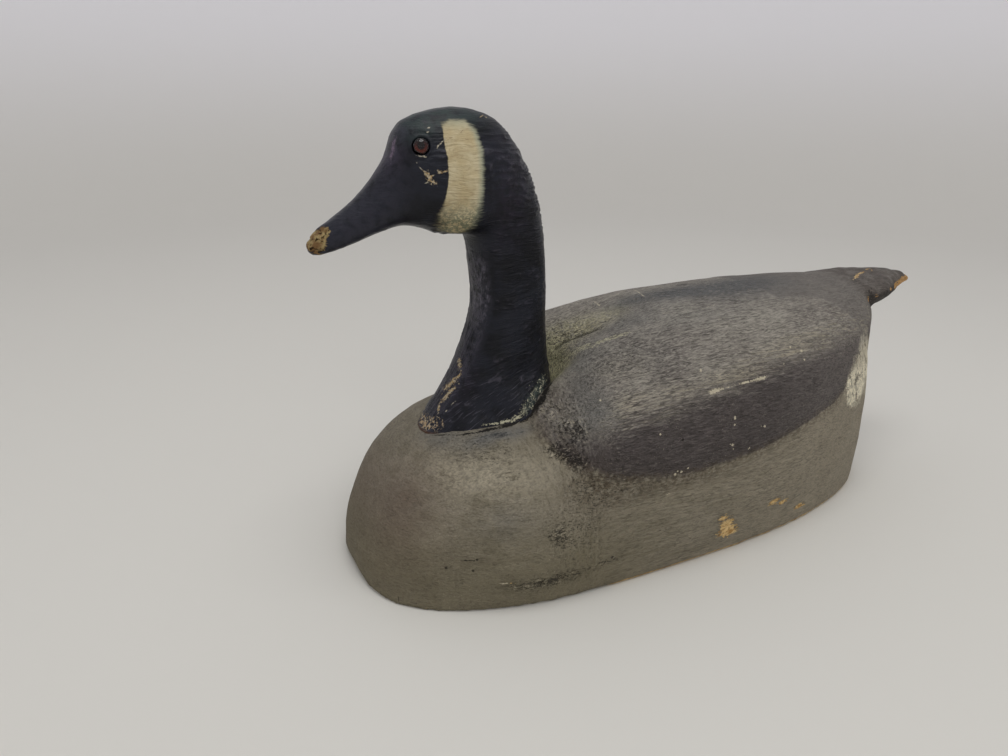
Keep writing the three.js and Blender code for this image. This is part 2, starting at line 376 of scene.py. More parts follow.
studio = {"reach": 2.6, "wall": 1.8, "sweep": 1.1, "sides": 128, "sweepSteps": 12, "roughness": 0.8,
          "colours": {"floor": (220, 218, 210), "wall": (253, 252, 254)}, "paleFrom": 700,
          "sky": (0.93, 0.92, 0.95, 1), "skyStrength": 0.6, "aim": (0, 0, 0.1),
          # place, size, power, and whether it shows in shiny paint
          "lights": [((0.1, 0.25, 1.5), 0.8, 5.5, True), ((0.5, 1.7, 1.1), 0.9, 5, False)]}


def makeStudio():
    wall = studio["wall"]
    bpy.ops.mesh.primitive_cylinder_add(vertices=studio["sides"], radius=studio["reach"], depth=wall,
                                        location=(0, 0, wall / 2))
    floor = bpy.context.object
    floor.name = "paleFloor"
    bpy.ops.object.transform_apply(location=True, rotation=True, scale=True)
    pickFaces(floor, lambda face: face.normal.z > 0.5)
    bpy.ops.mesh.delete(type="FACE")
    bpy.ops.mesh.select_all(action="SELECT")
    bpy.ops.mesh.flip_normals()
    bpy.ops.object.mode_set(mode="OBJECT")
    applyModifier(floor, "BEVEL", width=studio["sweep"], segments=studio["sweepSteps"], limit_method="ANGLE",
                  angle_limit=math.radians(60))
    bpy.ops.object.shade_smooth()
    f = Finish("palePaper", studio)
    f.give(Base_Color=f.mix(f.stepZ(0, studio["paleFrom"]), "floor", "wall"), Roughness=studio["roughness"])
    floor.data.materials.append(f.material)


def softLight(place, size, power, shine):
    bpy.ops.object.light_add(type="AREA", location=place)
    light = bpy.context.object
    light.data.shape = "DISK"
    light.data.size = size
    light.data.energy = power
    light.visible_glossy = shine
    light.rotation_euler = (Vector(studio["aim"]) - Vector(place)).to_track_quat("-Z", "Y").to_euler()


makeStudio()
world = bpy.data.worlds.new("softSky")
bpy.context.scene.world = world
world.use_nodes = True
world.node_tree.nodes["Background"].inputs["Color"].default_value = studio["sky"]
world.node_tree.nodes["Background"].inputs["Strength"].default_value = studio["skyStrength"]
for light in studio["lights"]:
    softLight(*light)
bpy.context.scene.view_settings.view_transform = "Standard"
print("studio ready")

# The body

body = {
    "cell": 1.95, "smoothing": 12,
    # lower edge of the dark wing paint, and upper edge of its darkest band: [along, height]
    "wingPaint": [(112, 99), (104, 88), (84, 80.6), (63, 76), (40, 72.5), (16, 72), (-10, 74), (-37, 76),
        (-67, 81), (-95, 86.5), (-121, 91.5), (-136, 98), (-144, 107), (-155, 113), (-168, 119), (-200, 126),
        (-330, 130)],
    "darkBand": [(112, 100), (87, 104), (60, 109), (29, 112), (0, 117), (-46, 122), (-84, 127), (-120, 129),
        (-141, 131), (-330, 133)],
    # hind end of the wing seen from above: [along, half width]
    "wingEnd": [(-101, 40), (-128, 41), (-141, 46), (-156, 58), (-166, 68)],
    # where the crease in the hollow of the back runs: along, and to the side
    "creaseX": [38, 46, 60, 70, 78], "creaseY": [14, 12.6, 9.5, 4, 0],
    # relief of the wood: its height, the size of its marks, and a seed
    "relief": {"toolMarks": (0.5, 44, 1), "gouges": (0.26, (22, 13, 13), 2), "grain": (0.2, (22, 3.4, 3.4), 3),
               "shoulderGrain": (0.14, (5, 12, 3.6), 4), "bands": (0.09, (16, 16, 4), 7), "crumbs": (0.5, 7, 8),
               "tailWear": (0.5, (9, 7, 5), 13), "bankCrumbs": (0.5, 5, 12)},
    "pitDepth": 1.2, "bankHeight": 0.9, "creaseDepth": 1.5, "ledgeHeight": 0.45, "chipDepth": 0.8,
    # middle, reach along X, Y and Z, and the move
    "nudges": [((-228, 33, 141), (14, 9, 9), (0, -1, 3.4)), ((-228, -33, 141), (14, 9, 9), (0, 1, 3.4)),
        ((-196, 0, 162), (18, 22, 5), (0, 0, 1.5)), ((-206, 36, 146), (4, 4, 8), (0, -2.2, 0)),
        ((-206, -36, 146), (4, 4, 8), (0, 2.2, 0)), ((-183, 56, 139), (7, 8, 7), (-1.8, 1.2, 0)),
        ((-170, 71, 62), (9, 9, 7), (1.6, -1.2, 0)), ((-172, 70, 44), (10, 9, 9), (-1.0, 0.8, 0)),
        ((-278, 8, 156), (12, 7, 6), (0, 0.8, 1.0)), ((-278, -8, 156), (12, 7, 6), (0, -0.8, 1.0)),
        ((-302, 0, 150), (8, 9, 8), (0.8, 0, 0)), ((-297, 3, 150), (8, 3, 5), (0, 1.7, 0)),
        ((-297, -3, 150), (8, 3, 5), (0, -1.7, 0))],
    # where the paint is stained, pitted, bare or pale, and where light is painted behind the neck: middle,
    # reach along X, Y and Z, and strength
    "spots": {
        "stern": [((-147, 79, 95), (11, 12, 13), 1.4), ((-160, 75, 98), (14, 16, 20), 1.4),
          ((-174, 67, 120), (11, 14, 22), 1.15), ((-186, 44, 100), (22, 30, 24), 1.2),
          ((-196, 0, 104), (24, 40, 26), 1.1)],
        "hollow": [((74, 2, 130), (14, 24, 14), 1.0), ((50, 0, 143), (26, 17, 10), 1.0),
          ((24, 2, 154), (18, 12, 9), 0.35), ((82, 30, 128), (10, 10, 12), 0.9)],
        "dustAndPaintedLight": [((75, 8, 120), (7, 18, 16), 1.0), ((72, -6, 132), (8, 14, 8), 0.6)],
        "spine": [((10, -6, 160), (24, 12, 8), 0.8), ((-26, 2, 163), (30, 15, 8), 0.95),
          ((-64, 8, 163), (30, 22, 8), 1.0), ((-100, 4, 163), (26, 24, 8), 0.9),
          ((-132, 0, 163), (20, 20, 8), 0.6), ((44, 60, 142), (34, 22, 18), 0.2)],
        "sand": [((142, 64, 82), (38, 30, 12), 0.7), ((164, 44, 82), (26, 28, 9), 0.65),
          ((-26, 83, 127), (26, 6, 4.5), 0.9), ((-90, 72, 136), (40, 8, 6), 0.5),
          ((135, -62, 88), (34, 30, 16), 0.8), ((50, 98, 60), (50, 12, 8), 0.5),
          ((150, 89, 34), (7, 8, 5), 0.9), ((193, 60, 41), (5, 7, 5), 0.7), ((151, 86, 46), (9, 9, 3), 0.6),
          ((60, 60, 138), (24, 20, 9), 0.25), ((66, 80, 118), (12, 8, 9), 0.6),
          ((30, 82, 122), (24, 8, 7), 0.35)],
        "blue": [((140, 40, 98), (20, 7, 5), 1), ((163, 27, 95.4), (12, 9, 5), 0.8),
          ((122, 46, 99.5), (12, 6, 5), 0.8), ((172, 14, 93.5), (7, 12, 5), 0.6),
          ((150, 44, 94), (18, 7, 5), 0.4), ((92, 76, 112), (10, 14, 12), 0.5),
          ((80, 50, 136), (14, 14, 10), 0.5), ((128, -40, 97), (22, 10, 6), 0.7),
          ((84, 64, 126), (11, 13, 11), 0.7), ((70, 40, 142), (22, 12, 9), 0.6),
          ((80, 78, 117), (11, 11, 10), 0.8), ((10, 16, 158), (50, 9, 8), 0.4),
          ((30, 28, 155), (36, 10, 8), 0.7), ((-20, 42, 158), (40, 10, 8), 0.45),
          ((70, -80, 118), (20, 14, 14), 0.6), ((150, 84, 60), (16, 12, 10), 0.35)],
        "dirt": [((96, 90, 76), (16, 14, 9), 0.9), ((60, 96, 68), (40, 12, 7), 0.8),
          ((76, 97, 77), (24, 12, 4), 0.7), ((84, 96, 62), (20, 12, 10), 0.4),
          ((10, 99, 66), (40, 10, 6), 0.6), ((98, -84, 76), (18, 18, 14), 0.7),
          ((60, -96, 66), (40, 12, 9), 0.8), ((96, 44, 116), (6, 8, 8), 0.5),
          ((164, 82, 37), (30, 12, 1.6), 0.6)],
        "tint": [((205, 40, 50), (30, 30, 50), 0.9), ((208, -20, 40), (26, 40, 40), 0.8)],
        "pitted": [((102, 50, 112), (9, 14, 9), 0.7), ((97, 73, 106), (8, 11, 7), 1.3),
          ((107, 73, 94), (7, 13, 4.5), 1.3), ((101, 84, 90), (7, 7, 5), 1.2),
          ((120, 96, 20), (20, 12, 4), 0.85), ((140, 92, 17), (22, 10, 3), 0.7),
          ((86, 99, 23), (14, 12, 3), 0.6), ((60, -4, 140), (26, 18, 12), 0.5),
          ((119, 95, 49), (6, 9, 7), 1.1), ((84, 26, 122), (6, 12, 12), 0.6),
          ((30, 10, 154), (30, 14, 8), 0.4), ((85, -74, 108), (14, 20, 14), 0.9),
          ((98, -84, 92), (10, 12, 9), 0.8), ((-208, 33, 152), (5, 5, 5), 0.9),
          ((-190, -20, 110), (20, 30, 20), 0.4)],
        "pepper": [((100, 90, 78), (16, 14, 14), 0.4), ((96, 97, 54), (16, 12, 18), 0.4),
          ((112, 95, 42), (14, 12, 12), 0.4), ((120, 92, 56), (14, 12, 14), 0.3),
          ((72, 97, 72), (24, 12, 10), 0.45), ((92, 70, 114), (18, 24, 18), 0.45),
          ((150, 40, 94), (30, 40, 12), 0.45), ((60, 6, 138), (28, 28, 20), 0.9),
          ((78, 18, 128), (12, 16, 14), 0.3), ((100, -90, 78), (20, 14, 18), 0.9),
          ((96, -97, 50), (18, 12, 18), 0.8), ((120, 90, 18), (34, 16, 8), 0.7),
          ((40, 60, 140), (50, 30, 16), 0.4)],
        "bare": [((-14, 100, 22.5), (8.5, 12, 8), 1.35), ((-19, 100, 16), (9, 12, 4), 1.15),
          ((-8, 100, 31), (5, 10, 3), 1.0), ((-62, 98, 30), (5, 12, 3), 1.1),
          ((-71, 96, 25.5), (6, 12, 3), 1.35), ((-94, 92, 13.5), (8, 12, 2.6), 1.45),
          ((-56, 98, 29), (5, 12, 2), 0.9), ((-38, 98, 52), (3, 12, 3), 0.5),
          ((149, 90, 21), (7, 10, 1.6), 0.6), ((-60, -98, 40), (9, 12, 5), 0.85),
          ((60, -100, 14), (14, 12, 4), 0.8), ((150, -86, 60), (6, 10, 7), 0.7)],
        "tailEdge": [((-276, 13, 150), (20, 11, 6), 1.35), ((-296, 3, 150), (8, 6, 5), 0.9),
          ((-254, 23, 152), (9, 5, 4), 0.75), ((-238, 31, 152), (5, 4, 3), 0.8),
          ((-214, 37, 149), (4, 4, 4), 0.6), ((-270, -18, 150), (16, 8, 5), 0.9),
          ((-206, 36, 148), (1.6, 4, 6), 0.8)],
    },
    "colours": {
        "hull": (137, 130, 114), "hullDark": (112, 105, 88), "hullLowShade": (112, 105, 84),
          "hullAft": (156, 147, 129), "sand": (158, 150, 130), "blue": (107, 106, 102), "tint": (106, 90, 80),
          "wingDark": (73, 67, 65), "wingDust": (101, 95, 91), "wingPale": (150, 145, 134),
          "wingMid": (119, 113, 106), "slate": (91, 91, 90), "moss": (172, 167, 133),
          "paleMossAndPaintedLight": (226, 220, 176), "dustAndPaintedLight": (168, 160, 134), "rump": (112, 107, 101), "dirt": (78, 68, 54),
          "sternPale": (238, 230, 204), "tail": (78, 70, 65), "bareWood": (224, 194, 138),
          "bareDark": (172, 132, 76), "orange": (200, 156, 104), "pit": (34, 30, 26),
          "speck": (206, 196, 170), "tailUnder": (58, 54, 50), "under": (112, 98, 78), "jointAndShade": (17, 14, 12),
          "stroke": (46, 49, 51)},
    # size of the marks in millimetres, detail, roughness, distortion and shift
    "noises": {
        "sweep": ((30, 1.9, 1.9), 4, 0.62, 0.6), "round": ((2.6, 22, 9), 4, 0.62, 0.6, 3),
        "breast": ((14, 14, 5), 4, 0.6, 0.4, 4), "fineSweep": ((6.5, 0.95, 0.95), 1, 0.6, 1.2, 7),
        "fineRound": ((1.4, 3.6, 2.2), 2, 0.55, 0.8, 8), "fineBreast": ((2.6, 2.6, 0.8), 2, 0.6, 1.0, 10),
        "cloud": (34, 3, 0.55, 0, 5), "blotch": (9, 3, 0.6, 0, 9), "small": ((3.4, 2.4, 2.4), 3, 0.65, 0.3, 12),
        "speckle": (0.95, 2, 0.6, 0, 11), "long": ((46, 1.5, 1.5), 2, 0.6, 0.5, 25),
        "upright": ((4.6, 4.6, 6), 4, 0.68, 0.8, 13), "patches": (16, 3, 0.65, 0, 21),
        "crust": ((3.2, 2.2, 1.7), 3, 0.68, 1.0, 17), "grit": ((1.6, 1.0, 0.8), 2, 0.6, 0.8, 18),
        "sparse": ((3.0, 1.1, 1.0), 2, 0.6, 0, 19), "splinter": ((7, 2.2, 1.4), 3, 0.65, 0.8, 23)},
    # start, end and half width, and for specks and nail pits a middle and a reach
    "marks": {
        "scratches": [((-132, 77, 124), (-136, 78.5, 112), 0.35), ((155, 87, 21.2), (147, 91.2, 20.9), 0.4),
          ((-196, -30, 158), (-206, -32, 158), 1.6), ((19.5, -27, 156.3), (21, -18, 156.2), 0.7),
          ((-16.5, -26.5, 161.8), (-8.7, -4, 163.2), 0.5), ((-30, 36, 160.3), (-44, 34, 161.2), 0.4),
          ((48, 99.5, 61), (-30, 99.5, 62), 0.25)],
        "longScratch": [((2, 87.2, 120.5), (-8, 87, 121.2), 1.6), ((-11, 87, 121.4), (-22, 86.8, 122), 0.7),
          ((-22, 86.8, 122), (-36, 86.6, 122.4), 0.9), ((-36, 86.6, 122.4), (-48, 86, 123), 1.2)],
        "specks": [((-14.3, 95, 102.2), 1.1), ((-13.6, 96.5, 97.9), 0.9), ((-11.1, 98.6, 85), 1.2),
          ((-26.5, 98.5, 79.5), 1.2), ((-9, 99, 86), 0.7), ((-12, 99, 82), 0.7), ((-40.4, 97.4, 92), 1.0),
          ((-37, 97.5, 93), 0.6), ((-88.4, 76.7, 132.8), 1.0), ((-67.8, 81.8, 127.7), 0.8),
          ((-79.3, 75, 136.4), 0.7), ((-88.5, 80.4, 127.1), 0.9), ((3.5, 77.8, 133), 1.0),
          ((79.3, 74, 123.9), 0.7), ((46.8, 94.5, 102.6), 0.7), ((31, 99.4, 75), 0.9), ((36, 99.4, 74), 1.1),
          ((26, 99.4, 76.5), 0.7), ((34, 99.4, 76), 0.6)],
        "nailPits": [((183.5, 70.1, 30.7), 1.0), ((169.7, 79.5, 30.1), 0.9), ((167.2, 80, 37.5), 0.8),
          ((81, 99.4, 25), 1.1), ((30, 96.5, 96), 0.9), ((170, 58, 76), 0.7), ((60, -97, 40), 1.0),
          ((-100, -92, 60), 1.1)],
        "cracks": [((208.7, 51.2, 7), (208.8, 53, 1), 0.35), ((177, 73.5, 36.2), (167.5, 80, 37), 0.3),
          ((72, 3, 136.5), (59.5, 10, 144), 1.7), ((59.5, 10, 144), (45, 12.6, 148.6), 1.7)],
        # a worn line along the ridge of the wing, and moss on the lip of the shoulder
        "ridge": [((40, 38.6, 151.5), (10, 42.5, 155.4), 1.9), ((10, 42.5, 155.4), (-44, 39.4, 159.6), 1.4)],
        "lip": [((75.9, 11.9, 118.8), (74.2, 17.5, 127.7), 3.2),
          ((74.2, 17.5, 127.7), (72.6, 28, 138.5), 3.6), ((72.6, 28, 138.5), (62.3, 35.8, 146.3), 3.4),
          ((62.3, 35.8, 146.3), (38.6, 38.9, 151.8), 2.2)],
        # dark brush strokes beside the foot
        "strokes": [((140, 40, 97.8), (129, 42.5, 98.7), 1.5), ((137, 43.4, 97.4), (127, 44.6, 98.2), 1.1),
          ((124, 45, 98.8), (114, 49, 99.4), 0.5), ((146, 38.6, 97.2), (139, 39.4, 98), 0.7)],
        # bare wood along the top of the tail
        "tailMarks": [((-207.5, 18.6, 162), (-220.5, 11, 163), 1.4),
          ((-220.5, 11, 163), (-232, 7, 163.2), 1.5), ((-238, 3, 163.4), (-247, 0.4, 163.3), 1.0),
          ((-240, 8.2, 163.2), (-246, 4, 163.2), 0.9)],
        # the dark gap round the foot, widening into painted shade in the hollow behind
        "jointAndShadeLines": [((170, 14, 94), (156, 29.5, 96.6), 0.8), ((158, 28.5, 96.2), (144, 33.5, 98.2), 1.2),
          ((144, 33.5, 98.4), (130, 35.5, 99.8), 1.6), ((130, 35.5, 99.8), (116, 37.5, 102.7), 2.2),
          ((116, 38, 102.8), (106, 39.5, 109.6), 3.2), ((106, 39, 110), (98.5, 38, 117.5), 4.2),
          ((98.5, 37, 117.5), (91, 31, 125), 4.0)],
    },
    "bumpDepth": 3.0, "roughness": 0.66, "specular": 0.25,
}


def carveBody():
    piece = carvingBlank("body", "gooseBody", body["cell"], body["smoothing"])
    nudge(piece, body["nudges"])
    p = pointsOf(piece)
    x, y, z = p.T
    side = np.abs(y)
    facing = normalsOf(piece)[:, 2]
    mirrored = np.stack([x, side, z], 1)
    fields = {name: spots(mirrored if name == "stern" else p, places) for name, places in body["spots"].items()}

    # the wings' paint, its darkest band, the shoulder, the rump, the undersides, and painted shade under the
    # tail
    front = 112 - x - 0.35 * np.maximum(48 - side, 0)
    wing = np.minimum(z - heightAlong(body["wingPaint"], x), front)
    shoulder = rise(x, 76, 98) * rise(wing, 42, 20)
    pastWing = side - heightAlong(body["wingEnd"], x)
    rump = np.maximum(rise(pastWing, 2, -2) * rise(x, -100, -104), rise(x, -164, -168)) * rise(z, 100, 112)
    bottom = rise(facing, -0.8, -0.95) * rise(z, 6, 2)
    tailUnder = rise(x, -202, -208) * rise(facing, 0.45, 0.1) * rise(z, 120, 134)
    baseWear = rise(z, 5.5, 1) * rise(softNoise(p, 30, 5), -0.5, 0.5) * rise(facing, -0.95, -0.3)
    baseWear = np.maximum(baseWear, 1.4 * rise(z, 4, 1) * rise(x, 95, 70))

    # a rough crease down the hollow of the back with a bank beside it, and a ledge at the hind end of the wings
    fromCrease = y - np.interp(x, body["creaseX"], body["creaseY"])
    crease = np.exp(-(fromCrease / 2.8) ** 2) * rise(x, 34, 48) * rise(x, 75, 71) * rise(z, 132, 136)
    bank = np.exp(-((fromCrease + 11) / 6.5) ** 2) * rise(x, 22, 36) * rise(x, 74, 60) * rise(z, 120, 126)
    ledge = np.exp(-((pastWing + 2) / 2.4) ** 2) * rise(x, -100, -108) * rise(z, 120, 128)

    rough = {name: height * softNoise(p, size, seed) for name, (height, size, seed) in body["relief"].items()}
    pitted = fields["pitted"]
    relief = rough["toolMarks"] + rough["gouges"] + rough["bands"] + rough["shoulderGrain"] * shoulder
    relief += rough["grain"] * rise(wing, -14, 6) * (1 - shoulder)
    relief -= body["pitDepth"] * np.clip(pitted, 0, 1.2) * rise(softNoise(p, (4, 4.6, 3), 6), 0.05, 0.5)
    relief += rough["crumbs"] * np.clip(pitted, 0, 1)
    relief += rough["tailWear"] * rise(x, -192, -206) * rise(z, 120, 135)
    relief += bank * (body["bankHeight"] + rough["bankCrumbs"])
    relief += body["ledgeHeight"] * ledge - body["creaseDepth"] * crease
    chipped = rise(np.maximum(fields["bare"], fields["tailEdge"]), 0.5, 0.9)
    relief -= body["chipDepth"] * chipped * rise(softNoise(p, (7, 3, 3), 9), -0.5, 0.5)
    pushOut(piece, relief * (1 - bottom))

    fields.update(wing=wing, band=heightAlong(body["darkBand"], x) - z, shoulder=shoulder, rump=rump,
                  bottom=bottom, tailUnder=tailUnder, baseWear=baseWear, crease=crease, bank=bank, ledge=ledge)
    keepFields(piece, fields)
    return piece


def bodyFinish():
    f = Finish("weatheredBodyPaint", body)
    wing, band = f.field("wing"), f.field("band")
    pitted, shoulder = f.field("pitted"), f.field("shoulder")

    # wood grain under the paint: along the body, round the shoulder and across the breast
    sweepGrain = f.grain("sweep")
    roundGrain = f.grain("round")
    breast = f.stepX(95, 150)
    grain = f.blend(shoulder, sweepGrain, roundGrain)
    grain = f.blend(breast, grain, f.grain("breast"))
    fine = f.blend(shoulder, f.grain("fineSweep"), f.grain("fineRound"))
    fine = f.blend(breast, fine, f.grain("fineBreast"))
    cloud, blotch, small, speckle = (f.grain(name) for name in ("cloud", "blotch", "small", "speckle"))
    fineLine = f.step(fine, 0.44, 0.40)

    # the hull: painted shade low on the breast, paler towards the stern
    hull = f.mix(f.step(grain, 0.3, 0.7), "hullDark", "hull")
    hull = f.over(hull, "hull", f.step(cloud, 0.35, 0.7), 0.6)
    hull = f.over(hull, "hullDark", f.step(small, 0.5, 0.72), 0.5)
    hull = f.over(hull, "sand", f.field("sand"), f.step(small, 0.3, 0.62))
    hull = f.over(hull, "tint", f.field("tint"), 0.7)
    hull = f.over(hull, "hullLowShade", f.times(f.stepZ(75, 20), f.stepX(0, 110)), 0.7)
    hull = f.over(hull, "hullAft", f.stepX(90, -190), 0.6)

    # the wings: pale above and dark below, with sandy lines between, slate on the back, moss in the hollow, and
    # painted light behind the neck
    toDark = f.step(f.plus(band, f.swing(grain, 40)), -15, 8)
    pale = f.mix(f.step(cloud, 0.3, 0.7), "wingMid", "wingPale")
    pale = f.over(pale, "wingMid", f.step(grain, 0.60, 0.36), 0.6)
    pale = f.over(pale, "wingPale", f.step(fine, 0.555, 0.585), 0.6)
    pale = f.over(pale, "sand", f.field("sand"), f.step(fine, 0.35, 0.6))
    pale = f.over(pale, "rump", f.field("rump"), 0.85)
    dusty = f.times(f.step(speckle, 0.52, 0.7), f.step(cloud, 0.3, 0.6))
    dark = f.over("wingDark", "wingDust", dusty, 0.2)
    dark = f.over(dark, "wingDust", f.step(fine, 0.5, 0.75), 0.5)
    dark = f.over(dark, "wingDust", f.stepX(-20, -150), 0.85)
    sandLines = f.part(f.step(f.grain("long"), 0.54, 0.6), 0.6)
    pale = f.over(pale, "sand", f.times(f.step(band, -20, -10), f.step(band, 2, -3)), sandLines)
    wingPaint = f.mix(toDark, pale, dark)
    wingPaint = f.over(wingPaint, "slate", f.field("spine"), f.step(small, 0.2, 0.55))
    wingPaint = f.over(wingPaint, "moss", f.field("hollow"), f.step(small, 0.25, 0.6))
    # pale paint as painted light on the face behind the neck, where the neck shades it
    wingPaint = f.over(wingPaint, "paleMossAndPaintedLight", f.field("dustAndPaintedLight"), f.step(small, 0.2, 0.55))
    wingPaint = f.over(wingPaint, "dirt", shoulder, f.part(f.step(blotch, 0.35, 0.6), 0.25))

    # the paint's edge is broken and dirty towards the front, cleaner towards the stern
    forward = f.stepX(-30, 90)
    wander = f.times(f.plus(f.swing(blotch, 8), f.swing(small, 9)), f.total(0.35, (forward, 1.5)))
    ragged = f.plus(wing, wander)
    softness = f.total(1.2, (forward, 3.4))
    upper = f.step(ragged, f.times(softness, -1.0), softness)
    f.coat = f.mix(upper, hull, wingPaint)
    nearEdge = f.times(f.step(wing, -9, -1), f.step(wing, 6, 1))
    f.lay("dirt", nearEdge, f.part(f.step(small, 0.4, 0.6), f.blend(breast, 0.55, 0.25)))
    f.lay("dirt", f.field("dirt"), f.part(f.step(small, 0.3, 0.65), 0.75))
    f.lay("blue", f.field("blue"), f.part(f.step(blotch, 0.2, 0.5), 0.8))

    # chalky white at the stern, and the tail's own paint
    upright = f.grain("upright")
    rag = f.plus(f.plus(f.field("stern"), f.swing(upright, 1.1)), f.swing(blotch, 1.0))
    sternTone = f.mix(f.step(upright, 0.34, 0.54), "hull", "sternPale")
    chalk = f.times(f.step(rag, 0.4, 1.25), f.blend(f.stepZ(116, 100), 0.5, 0.95))
    f.lay(sternTone, chalk)
    onTail = f.times(f.stepX(-190, -210), f.stepZ(112, 130))
    f.lay("tail", onTail, f.part(f.step(blotch, 0.25, 0.6), 0.7))

    # worn ridges are paler; the grain's high spots get painted light and its hollows painted shade
    relief = f.step(f.total(0.0, (fine, 0.6), (small, 0.2), (speckle, 0.2)), 0.36, 0.64)
    depth = f.blend(f.field("rump"), f.blend(upper, 0.3, 0.46), 0.28)
    worn = f.most(f.field("ledge"), f.part(f.marks("ridge", 0.8), 0.9))
    f.lay("wingPale", worn, f.part(f.step(small, 0.35, 0.6), 0.55))
    f.lay("paleMossAndPaintedLight", f.marks("lip", 1.0), f.part(f.step(small, 0.3, 0.6), 0.38))
    f.lay("dustAndPaintedLight", f.field("bank"), f.part(f.step(small, 0.4, 0.6), 0.8))
    # painted light and shade that follow the relief of the grain
    paintedReliefShade = f.total(1.0, (depth, -0.5), (relief, depth))
    paintedReliefShade = f.node("ShaderNodeCombineColor", {0: paintedReliefShade, 1: paintedReliefShade, 2: paintedReliefShade}).outputs[0]
    f.coat = f.mix(1.0, f.coat, paintedReliefShade, "MULTIPLY")
    aft = f.stepX(-50, -130)
    lineShare = f.blend(upper, f.blend(breast, 0.26, 0.18), f.blend(toDark, f.blend(aft, 0.44, 0.22), 0.3))
    patches = f.step(f.grain("patches"), 0.3, 0.66)
    f.lay("pit", fineLine, f.times(lineShare, f.total(0.45, (patches, 0.6))))
    f.lay("speck", f.step(speckle, 0.6, 0.78), f.times(f.step(cloud, 0.4, 0.65), 0.3))

    # dark pits, thickest on the shoulder, with pale rims
    crust = f.grain("crust")
    pits = f.step(f.plus(crust, f.part(pitted, 0.11)), 0.62, 0.69)
    pits = f.times(pits, f.step(pitted, 0.12, 0.5))
    grit = f.step(f.plus(f.grain("grit"), f.part(f.field("pepper"), 0.13)), 0.64, 0.70)
    pits = f.most(pits, f.part(grit, f.step(f.field("pepper"), 0.1, 0.6)))
    pits = f.most(pits, f.step(f.grain("sparse"), 0.71, 0.76))
    pits = f.most(pits, f.dots("nailPits", 0.2))
    pits = f.most(pits, f.marks("cracks", 0.9))
    pits = f.most(pits, f.part(f.field("crease"), f.step(small, 0.35, 0.6)))
    f.lay("pit", pits, 0.76)
    f.lay("speck", f.times(f.step(pitted, 0.2, 0.7), f.step(crust, 0.42, 0.34)), 0.42)
    # the dark joint round the foot, with painted shade in the hollow behind it
    f.lay("jointAndShade", f.marks("jointAndShadeLines", 0.4), 0.95)
    f.lay("stroke", f.marks("strokes", 0.6), f.part(f.step(small, 0.35, 0.6), 0.75))
    # painted shade on the downward faces under the tail
    f.lay("tailUnder", f.field("tailUnder"), f.step(small, 0.2, 0.5))

    # bare wood in chips, on the tail and along the base, then scratches, specks and the underside
    broken = f.swing(f.grain("splinter"), 3.0)
    chipped = f.step(f.plus(f.field("bare"), broken), 0.78, 0.9)
    chipped = f.times(chipped, f.step(f.field("bare"), 0.2, 0.4))
    rubbed = f.step(f.total(f.field("baseWear"), (broken, 0.5)), 0.75, 0.9)
    rubbed = f.times(rubbed, f.step(f.field("baseWear"), 0.3, 0.6))
    bare = f.most(chipped, f.times(rubbed, 0.8))
    f.lay(f.mix(f.step(small, 0.35, 0.6), "bareDark", "bareWood"), bare)
    edge = f.step(f.total(f.field("tailEdge"), (broken, 0.45)), 0.55, 0.68)
    f.lay(f.mix(f.step(small, 0.4, 0.6), "bareDark", "orange"), edge)
    tailWood = f.mix(f.step(small, 0.4, 0.6), "bareDark", "bareWood")
    f.lay(tailWood, f.marks("tailMarks", 0.9), 0.9)
    scratches = f.most(f.marks("scratches", 1.0), f.marks("longScratch", 0.6))
    f.lay("speck", f.most(scratches, f.dots("specks", 0.6)), 0.85)
    f.lay(f.mix(f.step(sweepGrain, 0.3, 0.7), "under", "hullDark"), f.field("bottom"))

    height = f.total(0.0, (grain, 0.35), (fine, f.total(0.25, (patches, 0.3))), (small, 0.2), (speckle, 0.2),
                     (pits, -0.8), (bare, -0.35))
    f.give(Base_Color=f.coat, Roughness=f.total(body["roughness"], (speckle, 0.2)),
           Normal=f.bump(height, body["bumpDepth"]), Specular_IOR_Level=body["specular"])
    return f.material


gooseBody = carveBody()
settle(gooseBody, "body", bodyFinish())
print("body ready", len(gooseBody.data.polygons) * 2)

# The head and neck

